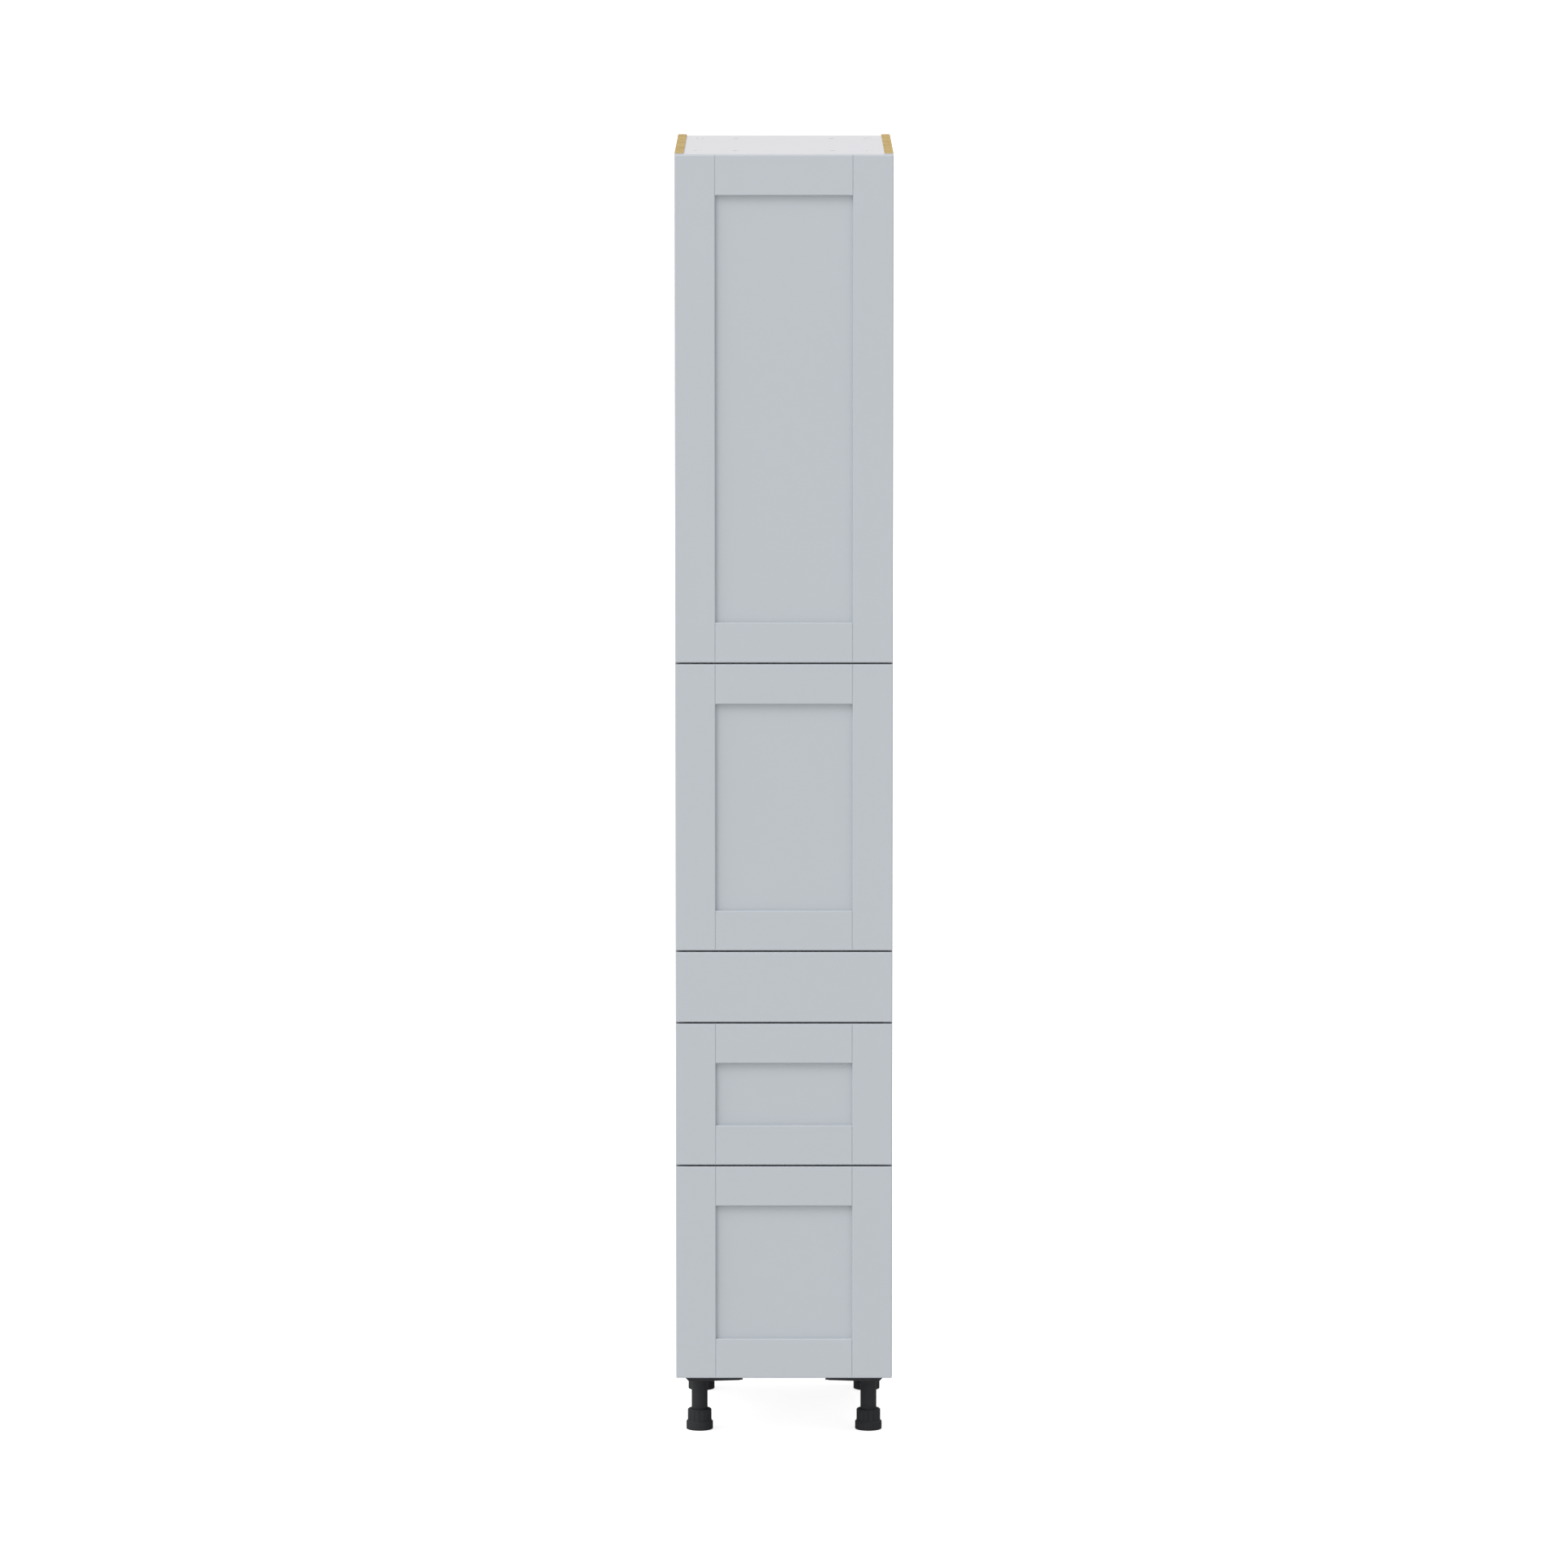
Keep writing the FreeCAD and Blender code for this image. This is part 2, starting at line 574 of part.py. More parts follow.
def drawer(module_z, wall_height):
    """Sides, boards and runners of one drawer."""
    axis_z = module_z + RUNNER_RISE
    sill = axis_z - (RUNNER_HEIGHT / 2 - 2 * STEP)
    floor = sill + LEDGE_T
    half = INNER_X - RUNNER_WIDTH - WALL_W - DRAWER_BOARD_FIT
    rear = FRONT_BACK_Y + DRAWER_DEPTH
    both = (LEFT, RIGHT)
    return {
        "side_walls": [drawer_wall(side, sill, wall_height) for side in both],
        "base_board": [box(-half, half, FRONT_BACK_Y, rear - DRAWER_BOARD_T,
                           floor, floor + DRAWER_BOARD_T)],
        "back_board": [box(-half, half, rear - DRAWER_BOARD_T, rear,
                           floor, sill + wall_height - BACK_BOARD_DROP)],
        "drawer_runners": [drawer_runner(side, axis_z) for side in both],
        "middle_runners": [middle_runner(side, axis_z) for side in both],
    }


# ---- concealed hinges ------------------------------------------------------
SIDE_FACE_U = FRONT_X - INNER_X
CARCASS_V = CARCASS_Y - FRONT_BACK_Y
CUP_U = CUP_EDGE + CUP_R
POCKET_US = (CUP_U - POCKET_REACH, CUP_U + POCKET_REACH)


def plan(point, z):
    """A point of the hinge's plan, in the cabinet's own frame."""
    return Vector(-FRONT_X + point[0], FRONT_BACK_Y + point[1], z)


def plan_disc(centre, radius, z, half):
    return rod(radius, plan(centre, z - half), plan(centre, z + half))


def plan_block(us, vs, z, half):
    low, high = plan((us[0], vs[0]), z - half), plan((us[1], vs[1]), z + half)
    return box(low.x, high.x, low.y, high.y, low.z, high.z)


def strap(path, radius, z, half):
    """A cranked strap with round ends and round elbows, so high either way from its middle."""
    pieces = [plan_disc(point, radius, z, half) for point in path]
    for a, b in zip(path, path[1:]):
        start, end = plan(a, z - half), plan(b, z - half)
        along = end - start
        across = Vector(-along.y, along.x, 0).normalize() * radius
        pieces.append(prism([start - across, end - across, end + across, start + across],
                            UP * (2 * half)))
    return union(pieces)


def hinge_plate(z):
    """A cruciform mounting plate on the side, with the rib that the arm clips over."""
    middle = CARCASS_V + PLATE_SCREW_V
    run = (middle - PLATE_LENGTH / 2, middle + PLATE_LENGTH / 2)
    top = SIDE_FACE_U + PLATE_T
    wings = plan_block((SIDE_FACE_U, top), (middle - PLATE_WING / 2, middle + PLATE_WING / 2),
                       z, PLATE_SPAN / 2)
    spine = plan_block((SIDE_FACE_U, top), run, z, ARM_HALF)
    rib = plan_block((SIDE_FACE_U, top + PLATE_RIB), run, z, ARM_HALF - ARM_GAUGE - HINGE_FIT)
    return union([wings, spine, rib])


def hinge_arm(z):
    """A folded channel over the plate's rib, whose cheeks reach forward to the pivot; and its pin."""
    foot = SIDE_FACE_U + PLATE_T
    top = foot + ARM_HEIGHT
    rear = CARCASS_V + PLATE_SCREW_V + PLATE_LENGTH / 2
    knuckle = (top - ARM_EYE_R, ARM_NECK_V + ARM_EYE_R)
    outer = union([plan_block((foot, top), (ARM_NECK_V + ARM_EYE_R, rear), z, ARM_HALF),
                   strap([(foot + ARM_EYE_R, knuckle[1]), knuckle, ARM_PIVOT], ARM_EYE_R, z, ARM_HALF)])
    inside = ARM_HALF - ARM_GAUGE
    hollow = union([plan_block((foot, top - ARM_GAUGE), (knuckle[1], rear), z, inside),
                    plan_block((foot, ARM_PIVOT[0] + ARM_EYE_R),
                               (ARM_PIVOT[1] - ARM_EYE_R, knuckle[1]), z, inside)])
    pin = plan_disc(ARM_PIVOT, HINGE_PIN_R, z, ARM_HALF)
    return [without(outer, [hollow, pin]), pin]


def hinge_link(z):
    """A channel-shaped link that lies along the floor of the pocket while the door is shut."""
    path = [CUP_PIVOT, CUP_ELBOW, ARM_ELBOW, ARM_PIVOT]
    outer = union([strap(path, LINK_R, z, LINK_HALF)]
                  + [plan_disc(p, LINK_EYE_R, z, LINK_HALF) for p in (CUP_PIVOT, ARM_PIVOT)])
    web_v = (CUP_ELBOW[1] + ARM_ELBOW[1]) / 2 - LINK_R + LINK_WEB
    slot = plan_block((CUP_ELBOW[0], ARM_ELBOW[0]), (web_v, 0), z, LINK_HALF - LINK_GAUGE)
    bores = [plan_disc(p, HINGE_PIN_R + HINGE_FIT, z, LINK_HALF) for p in (CUP_PIVOT, ARM_PIVOT)]
    return without(outer, [slot] + bores)


def cup_bore(z):
    return rod(CUP_R, plan((CUP_U, -CUP_DEPTH), z), plan((CUP_U, 0), z))


def hinge_cup(z):
    """The cup in the door's back, with its rim, wings, stepped pocket and pin."""
    wing_us = (CUP_U + CUP_WING_START, CUP_U + CUP_WING_END)
    body = union([rod(CUP_R - CUP_FIT, plan((CUP_U, CUP_FIT - CUP_DEPTH), z), plan((CUP_U, 0), z)),
                  rod(CUP_RIM_R, plan((CUP_U, 0), z), plan((CUP_U, CUP_RIM_T), z)),
                  plan_block(wing_us, (0, CUP_WING_T), z, CUP_WING_SPAN / 2)])
    pocket = plan_block(POCKET_US, (POCKET_FLOOR, CUP_WING_T), z, POCKET_HALF)
    relief = plan_block((POCKET_US[0], POCKET_US[1] + POCKET_RELIEF), (0, CUP_WING_T), z, POCKET_HALF)
    notch = plan_block((CUP_U - CUP_RIM_R, CUP_U), (POCKET_NOTCH, CUP_WING_T), z, POCKET_HALF)
    pin = plan_disc(CUP_PIVOT, HINGE_PIN_R, z, POCKET_HALF + CUP_PIN_GRIP)
    return [without(body, [pocket, relief, notch, pin]), pin]


# ---- writing the nodes -----------------------------------------------------
def carcass_nodes():
    cams, bolts = cam_fittings()
    nodes = {"side_panel_left": [side_panel(LEFT)], "side_panel_right": [side_panel(RIGHT)]}
    nodes.update({name: [deck(name)] for name in DECK_ZS})
    nodes.update({name: [adjustable_shelf(z)] for name, z in SHELF_ZS.items()})
    nodes["back_panel"] = [back_panel()]
    nodes["rear_rails"] = rear_rails()
    nodes["shelf_pins"] = [shelf_pin(side, y, z) for z in SHELF_ZS.values()
                           for y in PIN_ROWS for side in (LEFT, RIGHT)]
    nodes["cam_locks"] = cams
    nodes["cam_bolts"] = bolts
    return nodes


def leg_nodes():
    corners = {"front_left": (LEFT, LEG_YS[0]), "front_right": (RIGHT, LEG_YS[0]),
               "rear_left": (LEFT, LEG_YS[1]), "rear_right": (RIGHT, LEG_YS[1])}
    nodes = {"leg_sockets": [leg_socket(*at) for at in corners.values()],
             "leg_tubes": [leg_tube(*at) for at in corners.values()]}
    for corner, at in corners.items():
        nodes["foot_" + corner] = [foot_disc(*at)]
        nodes["grip_sleeve_" + corner] = [grip_sleeve(*at)]
    return nodes


def drawer_nodes():
    nodes = {"runner_rails": []}
    walls = {"top_drawer": TOP_WALL, "middle_drawer": MIDDLE_WALL, "bottom_drawer": BOTTOM_WALL}
    for name, wall_height in walls.items():
        z = FRONT_ZS[name]
        span = front_span(name)
        front = framed_front(*span) if FRONT_MODULES[name] > 1 else {"front": [slab_front(*span)]}
        for piece, solids in {**front, **drawer(z, wall_height)}.items():
            nodes[name + "_" + piece] = solids
        nodes["runner_rails"] += [runner_rail(side, z + RUNNER_RISE) for side in (LEFT, RIGHT)]
    return nodes


def door_nodes():
    nodes = {"hinge_plates": [], "hinge_arms": []}
    for name in ("lower_door", "upper_door"):
        low, high = front_span(name)
        leaf = framed_front(low, high)
        hinge_zs = (low + HINGE_INSET, high - HINGE_INSET)
        leaf["stiles"][0] = without(leaf["stiles"][0], [cup_bore(hz) for hz in hinge_zs])
        for piece, solids in leaf.items():
            nodes[name + "_" + piece] = solids
        nodes[name + "_hinge_cups"] = [s for hz in hinge_zs for s in hinge_cup(hz)]
        nodes[name + "_hinge_links"] = [hinge_link(hz) for hz in hinge_zs]
        nodes["hinge_plates"] += [hinge_plate(hz) for hz in hinge_zs]
        nodes["hinge_arms"] += [s for hz in hinge_zs for s in hinge_arm(hz)]
    return nodes


def main():
    os.makedirs("parts", exist_ok=True)
    for group in (carcass_nodes(), leg_nodes(), drawer_nodes(), door_nodes()):
        for name, solids in group.items():
            save(name, solids)


main()
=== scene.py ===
"""Looks of the tall pantry cabinet: finishes, small fittings, studio and camera.

Metres, +Z up.  The origin is on the floor under the middle of the cabinet, +X is to the
right as seen from the front, and the fronts face -Y.
"""

import json
import math

import bpy
import numpy as np
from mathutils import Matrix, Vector


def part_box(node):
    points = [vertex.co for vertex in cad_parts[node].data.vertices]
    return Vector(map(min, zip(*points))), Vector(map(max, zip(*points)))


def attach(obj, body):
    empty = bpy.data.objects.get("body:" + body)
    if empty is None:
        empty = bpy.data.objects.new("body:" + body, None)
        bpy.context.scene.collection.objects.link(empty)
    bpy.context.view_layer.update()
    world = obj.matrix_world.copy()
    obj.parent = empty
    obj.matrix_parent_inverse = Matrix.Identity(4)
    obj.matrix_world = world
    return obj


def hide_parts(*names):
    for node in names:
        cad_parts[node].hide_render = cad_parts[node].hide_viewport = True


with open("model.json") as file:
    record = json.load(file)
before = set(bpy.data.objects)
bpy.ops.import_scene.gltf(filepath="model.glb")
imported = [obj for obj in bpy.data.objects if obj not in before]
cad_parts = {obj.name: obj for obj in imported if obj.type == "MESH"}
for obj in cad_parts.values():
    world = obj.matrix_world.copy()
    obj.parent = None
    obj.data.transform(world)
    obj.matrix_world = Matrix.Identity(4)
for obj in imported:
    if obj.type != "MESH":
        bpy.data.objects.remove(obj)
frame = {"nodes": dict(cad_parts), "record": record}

bl_info = {
    "name": "Pantry cabinet",
    "version": (1, 0, 0),
    "blender": (4, 5, 0),
    "location": "3D Viewport > Sidebar > Cabinet",
    "description": "Finishes a tall pantry cabinet and sets it in a pale studio",
    "category": "Object",
}

MM = 0.001

# places and names of the CAD pieces
BOX = {name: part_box(name) for name in frame["nodes"]}
SIDE = BOX["side_panel_left"]
INNER_X = -SIDE[1].x                # half the clear width between the side panels
FRONT_FACE = BOX["upper_door_stiles"][0].y
DECKS = ("bottom_panel", "fixed_shelf_lower", "fixed_shelf_upper", "top_panel")
SHELVES = ("shelf_lower_bay", "shelf_upper_bay_low", "shelf_upper_bay_high")
DOORS = ("lower_door", "upper_door")
DRAWERS = ("bottom_drawer", "middle_drawer", "top_drawer")

# places and shapes of the small fittings
CAM_RADIUS = 7.4 * MM
CAM_LENGTH = 12.2 * MM
CAM_SUNK = 0.5 * MM                 # cam's face below the face of its board
CAM_BEVEL_START = 0.93              # bevel at a cam's rim, in radii
CAM_BEVEL_WIDTH = 0.07
CAM_BEVEL_DEPTH = 0.06
CAM_CROSS_REACH = 0.62              # from the middle to the end of a bar of the cross, in radii
SCREW_CROSS_REACH = 0.57
CROSS_HALF_WIDTH = 0.13
SCREW_CROSS_DEPTH = 0.8             # as a share of the head's height
# grid lines across a face with a cross, in radii, closer at the bars' edges and at the rim
CROSS_KNOTS = np.array([-1, -0.93, -0.8, -0.6, -0.54, -0.3, -0.16, -0.11, 0,
                        0.11, 0.16, 0.3, 0.54, 0.6, 0.8, 0.93, 1])
NAIL_KNOTS = np.linspace(-1, 1, 6)
HINGE_LINK_HALF = 5.3 * MM          # half the height of a hinge's link
PLATE_FACE_X = -INNER_X + 3.0 * MM
PLATE_SCREW_RISE = 16.0 * MM        # screw above or below the middle of its hinge
CUP_SCREW_X = BOX["upper_door_hinge_cups"][0].x + 28.0 * MM
CUP_SCREW_RISE = 23.3 * MM
ARM_FACE_X = -INNER_X + 16.0 * MM
ARM_SCREW_STEPS = (-13.0 * MM, 10.0 * MM)       # ahead of the plate's middle, and behind it
RUNNER_GAUGE = 1.2 * MM
RUNNER_SCREW_SHARES = (0.08, 0.45, 0.85)        # places along a rail, from its front end
NAILED_DECKS = ("fixed_shelf_lower", "top_panel")
NAIL_COLUMNS = 6
NAIL_SPREAD = 0.88                  # outermost nails, as a share of the inner half width

# coated surfaces: coarse and fine are the scales of their drift, tint and rough_spread say how
# far the colour and the roughness follow it, and bump is its depth
FOIL_LOOK = dict(roughness=0.46, coarse=2.2, fine=900.0, tint=0.05, rough_spread=0.12,
                 bump=0.012 * MM, specular=0.4)
PLASTIC_LOOK = dict(roughness=0.6, coarse=18.0, fine=2600.0, tint=0.35, rough_spread=0.25,
                    bump=0.03 * MM, specular=0.06)
ENAMEL_LOOK = dict(roughness=0.34, coarse=4.0, fine=700.0, tint=0.03, rough_spread=0.12,
                   bump=0.01 * MM, specular=0.5)
SKIN = 0.06 * MM                    # depth of a face's own finish
BAND = 1.0 * MM                     # thickness of an edge band
NO_BAND = Vector((0, 1, 0))         # taken from a board's low corner, it leaves out the band
BOARD_ROUGHNESS = 0.42
BOARD_SPECULAR = 0.25
BOARD_GRAIN = 0.04                  # height of the melamine's grain, as a share of the chips'
SAWN_ROUGHER = 0.4                  # roughness that a sawn face has over a coated one
SAWN_DEPTH = 0.25 * MM
LACQUER_ROUGHNESS = 0.45
FIBRE_ROUGHER = 0.35
FIBRE_DEPTH = 0.12 * MM
ZINC_ROUGHNESS = 0.38
CAST_ZINC_ROUGHNESS = 0.3
NICKEL_ROUGHNESS = 0.26
PLATING_DEPTH = 0.01 * MM

# the stage
FLOOR_RINGS = np.array([0.0, 1.0, 4.0, 15.0, 60.0])
FLOOR_TURNS = np.linspace(0, 2 * math.pi, 49)
FLOOR_COLOUR = (0.72, 0.72, 0.72, 1)
FLOOR_ROUGHNESS = 0.9
FLOOR_LIFT = 0.78                   # floor's own light to the camera
WHITE = (1, 1, 1, 1)
BLACK = (0, 0, 0, 1)
KEY_PLACE = (-10.0, -19.1, 32.4)
KEY_TARGET = (0.0, FRONT_FACE, 1.2)
KEY_DIAMETER = 20.0
KEY_WATTS = 4480.0
SENSOR_WIDTH = 36.0                 # in millimetres, as the lens is
CLIP_NEAR, CLIP_FAR = 0.1, 200.0


# ---- settings --------------------------------------------------------------
def colour_setting(name, description, default):
    """A colour that the user may change."""
    return bpy.props.FloatVectorProperty(name=name, description=description, subtype="COLOR",
                                         size=3, min=0.0, max=1.0, default=default)


def length_setting(name, description, default):
    """A length in metres that the user may change."""
    return bpy.props.FloatProperty(name=name, description=description, default=default,
                                   min=0.0, subtype="DISTANCE", unit="LENGTH", precision=5)


def level_setting(name, description, default):
    """A share or strength that the user may change."""
    return bpy.props.FloatProperty(name=name, description=description, default=default,
                                   min=0.0, subtype="FACTOR", soft_max=1.0)


class CabinetFinish(bpy.types.PropertyGroup):
    """Colours of the cabinet's surfaces."""

    front: colour_setting("Fronts", "Satin foil on the doors and drawer fronts",
                          (0.505, 0.537, 0.572))
    board: colour_setting("Boards", "Melamine faces of the carcass boards", (0.668, 0.663, 0.693))
    band: colour_setting("Edge bands", "Thin bands on the boards' front edges", (0.66, 0.66, 0.68))
    chip_light: colour_setting("Light chips", "Pale chips in the sawn edges", (0.66, 0.502, 0.21))
    chip_dark: colour_setting("Dark chips", "Dark chips in the sawn edges", (0.31, 0.187, 0.0615))
    fibre: colour_setting("Fibreboard", "Bare rear of the back panel", (0.33, 0.20, 0.10))
    plastic: colour_setting("Plastic", "Moulded parts of the legs", (0.044, 0.0455, 0.049))
    zinc: colour_setting("Zinc", "Plated runners, pins and screws", (0.60, 0.61, 0.63))
    cast_zinc: colour_setting("Cast zinc", "Bright faces of the cams", (0.86, 0.86, 0.87))
    nickel: colour_setting("Nickel", "Plated hinges", (0.64, 0.63, 0.61))
    enamel: colour_setting("Enamel", "Steel sides of the drawers", (0.72, 0.73, 0.74))


class CabinetFittings(bpy.types.PropertyGroup):
    """Sizes of the small fittings."""

    screw_radius: length_setting("Screw head", "Radius of a screw head", 3.6 * MM)
    screw_rise: length_setting("Screw rise", "Height of a screw head", 0.9 * MM)
    nail_radius: length_setting("Nail head", "Radius of a nail head in the back panel", 1.8 * MM)
    nail_rise: length_setting("Nail rise", "Height of a nail head", 0.5 * MM)
    recess_depth: length_setting("Cross recess", "Depth of the cross in a cam", 2.2 * MM)


class StudioSettings(bpy.types.PropertyGroup):
    """Camera and light."""

    distance: length_setting("Distance", "Camera in front of the fronts", 16.0)
    height: length_setting("Height", "Camera above the floor", 3.22)
    aim: length_setting("Aim", "Height on the fronts that the camera looks at", 1.1722)
    view_height: length_setting("View height", "Height that the view spans at the aim", 2.7427)
    surround: level_setting("Surrounding light", "Light from all round", 0.53)
    lean: bpy.props.FloatVectorProperty(name="Lean", subtype="DIRECTION", size=3,
                                        description="Way and share by which that light leans",
                                        default=(-0.75, -0.7, 0.7))
    key: level_setting("Key light", "Soft light from the upper left", 1.0)


# ---- meshes ----------------------------------------------------------------
def grid_faces(rows, columns, start=0):
    """Quads of a rows x columns grid of points, numbered row by row."""
    first = start + (np.arange(rows - 1)[:, None] * columns + np.arange(columns - 1)).ravel()
    return np.stack([first, first + 1, first + columns + 1, first + columns], axis=1)


def rim_indices(count):
    """Points round the border of a count x count grid, anticlockwise from its first corner."""
    run = np.arange(count - 1)
    last = count - 1
    return np.concatenate([run, run * count + last,
                           last * count + last - run, (last - run) * count])


def disc_button(knots, height, depth):
    """A closed round button between a shaped top and a flat underside.

    The square grid (u, v) is bent to a disc by x = u sqrt(1 - v^2 / 2), y = v sqrt(1 - u^2 / 2),
    the top is z = height(u, v, rho) and the underside is z = -depth.  Unit radius.
    """
    v, u = np.meshgrid(knots, knots, indexing="ij")
    x, y = u * np.sqrt(1 - v * v / 2), v * np.sqrt(1 - u * u / 2)
    top = np.stack([x, y, height(u, v, np.hypot(x, y))], axis=-1).reshape(-1, 3)
    under = np.stack([x, y, np.full_like(x, -depth)], axis=-1).reshape(-1, 3)
    count = len(knots)
    rim = rim_indices(count)
    ahead = np.roll(rim, -1)
    wall = np.stack([rim + count ** 2, ahead + count ** 2, ahead, rim], axis=1)
    faces = np.concatenate([grid_faces(count, count),
                            grid_faces(count, count, count ** 2)[:, ::-1], wall])
    return np.concatenate([top, under]), faces


def cross_mask(u, v, reach):
    """One inside a cross of two equal bars along u and v, nought outside."""
    a, b = np.abs(u), np.abs(v)
    return ((np.minimum(a, b) < CROSS_HALF_WIDTH) & (np.maximum(a, b) < reach)).astype(float)


def screw_head(radius, rise):
    """A pan head: z = rise (1 - rho^5), sunk by a share of that height inside the cross."""
    def height(u, v, rho):
        cross = cross_mask(u, v, SCREW_CROSS_REACH)
        return rise * (1 - rho ** 5) * (1 - SCREW_CROSS_DEPTH * cross)

    points, faces = disc_button(CROSS_KNOTS, height, 0.0)
    return points * [radius, radius, 1.0], faces


def nail_head(radius, rise):
    """A shallow dome: z = rise (1 - rho^2)."""
    points, faces = disc_button(NAIL_KNOTS, lambda u, v, rho: rise * (1 - rho ** 2), 0.0)
    return points * [radius, radius, 1.0], faces


def cam_body(radius, length, recess):
    """A cam: a drum whose face is flat to the bevel, falls evenly over it to the rim, and is
    lower by the recess inside the cross.
    """
    def height(u, v, rho):
        fall = np.clip((rho - CAM_BEVEL_START) / CAM_BEVEL_WIDTH, 0, 1)
        return -(fall * CAM_BEVEL_DEPTH * radius) - recess * cross_mask(u, v, CAM_CROSS_REACH)

    points, faces = disc_button(CROSS_KNOTS, height, length)
    return points * [radius, radius, 1.0], faces


def facing(normal):
    """Rows are the axes of a frame whose third axis is the normal."""
    normal = np.asarray(normal, float)
    across = np.array([0.0, 0.0, 1.0]) if abs(normal[2]) < 0.9 else np.array([1.0, 0.0, 0.0])
    first = np.cross(across, normal)
    return np.stack([first, np.cross(normal, first), normal])


def repeated(shape, places, normal):
    """Copies of a shape, each turned to the normal and then moved by its place."""
    points, faces = shape
    turned = points @ facing(normal)
    places = np.asarray(places, float)
    shift = np.arange(len(places))[:, None, None] * len(points)
    moved = turned[None] + places[:, None, :]
    return moved.reshape(-1, 3), (faces[None] + shift).reshape(-1, 4)


def joined(parts):
    """Several sets of points and faces as one."""
    points, faces, start = [], [], 0
    for some_points, some_faces in parts:
        points.append(some_points)
        faces.append(some_faces + start)
        start += len(some_points)
    return np.concatenate(points), np.concatenate(faces)


def new_piece(name, surface, material, smooth=False):
    """A mesh object at the origin with its place in its mesh."""
    points, faces = surface
    mesh = bpy.data.meshes.new(name)
    mesh.from_pydata(points.tolist(), [], faces.tolist())
    mesh.validate()
    mesh.polygons.foreach_set("use_smooth", np.full(len(mesh.polygons), smooth))
    mesh.materials.append(material)
    piece = bpy.data.objects.new(name, mesh)
    bpy.context.scene.collection.objects.link(piece)
    return piece


# ---- shader building -------------------------------------------------------
def add_node(tree, kind, at=(0, 0), **values):
    """A node with its plain properties set."""
    node = tree.nodes.new(kind)
    node.location = (at[0] * 200, at[1] * 200)
    for key, value in values.items():
        setattr(node, key, value)
    return node


def feed(tree, target, source):
    """Links an output socket, or sets a constant, on an input socket."""
    if isinstance(source, bpy.types.NodeSocket):
        tree.links.new(source, target)
    else:
        target.default_value = source


def maths(tree, operation, *values, clamp=False):
    """The result of one Math node on sockets or numbers."""
    node = add_node(tree, "ShaderNodeMath", operation=operation, use_clamp=clamp)
    for socket, value in zip(node.inputs, values):
        feed(tree, socket, value)
    return node.outputs[0]


def mixed(tree, factor, first, second):
    """A colour between two."""
    node = add_node(tree, "ShaderNodeMix", data_type="RGBA")
    sockets = (node.inputs[0], node.inputs[6], node.inputs[7])      # factor, then the two colours
    for socket, value in zip(sockets, (factor, first, second)):
        feed(tree, socket, value)
    return node.outputs[2]


def spread(tree, value, low, high, to_low=0.0, to_high=1.0):
    """A value carried from one range to another, and held inside it."""
    node = add_node(tree, "ShaderNodeMapRange", clamp=True)
    for socket, number in zip(node.inputs, (value, low, high, to_low, to_high)):
        feed(tree, socket, number)
    return node.outputs[0]


def new_group(name, inputs, outputs):
    """An empty node group with named sockets; its input and output nodes."""
    tree = bpy.data.node_groups.new(name, "ShaderNodeTree")
    for label, kind, default in inputs:
        socket = tree.interface.new_socket(label, in_out="INPUT", socket_type="NodeSocket" + kind)
        if default is not None:
            socket.default_value = default
    for label, kind in outputs:
        tree.interface.new_socket(label, in_out="OUTPUT", socket_type="NodeSocket" + kind)
    given = add_node(tree, "NodeGroupInput", (-5, 0))
    return tree, given, add_node(tree, "NodeGroupOutput", (5, 0))


def noise(tree, place, scale, detail=2.0, roughness=0.5):
    """Noise between nought and one, with so many features to the metre."""
    node = add_node(tree, "ShaderNodeTexNoise")
    values = {"Vector": place, "Scale": scale, "Detail": detail, "Roughness": roughness}
    for label, value in values.items():
        feed(tree, node.inputs[label], value)
    return node.outputs["Fac"]


def stretched(tree, place, factors):
    """A place multiplied axis by axis; a factor under one draws the pattern out along its axis."""
    node = add_node(tree, "ShaderNodeVectorMath", operation="MULTIPLY")
    feed(tree, node.inputs[0], place)
    node.inputs[1].default_value = factors
    return node.outputs[0]


def tinted(tree, colour, tint):
    """A colour multiplied by a factor."""
    node = add_node(tree, "ShaderNodeVectorMath", operation="SCALE")
    feed(tree, node.inputs[0], colour)
    tree.links.new(tint, node.inputs["Scale"])
    return node.outputs[0]


def drift_group():
    """Slow and fine noise together: a tint about one, a roughness about nought, and a height."""
    tree, given, result = new_group(
        "surface_drift",
        [("Place", "Vector", None), ("Coarse scale", "Float", 3.0), ("Fine scale", "Float", 500.0),
         ("Tint", "Float", 0.02), ("Roughness spread", "Float", 0.05)],
        [("Tint", "Float"), ("Roughness", "Float"), ("Height", "Float")])
    slow_share, fine_share = 0.7, 0.3
    slow = noise(tree, given.outputs["Place"], given.outputs["Coarse scale"],
                 detail=3.0, roughness=0.55)
    fine = noise(tree, given.outputs["Place"], given.outputs["Fine scale"])
    both = maths(tree, "ADD", maths(tree, "MULTIPLY", slow, slow_share),
                 maths(tree, "MULTIPLY", fine, fine_share))
    off = maths(tree, "SUBTRACT", both, 0.5)
    tint = maths(tree, "MULTIPLY_ADD", off, given.outputs["Tint"], 1.0)
    rough = maths(tree, "MULTIPLY", off, given.outputs["Roughness spread"])
    for label, socket in (("Tint", tint), ("Roughness", rough), ("Height", fine)):
        tree.links.new(socket, result.inputs[label])
    return tree


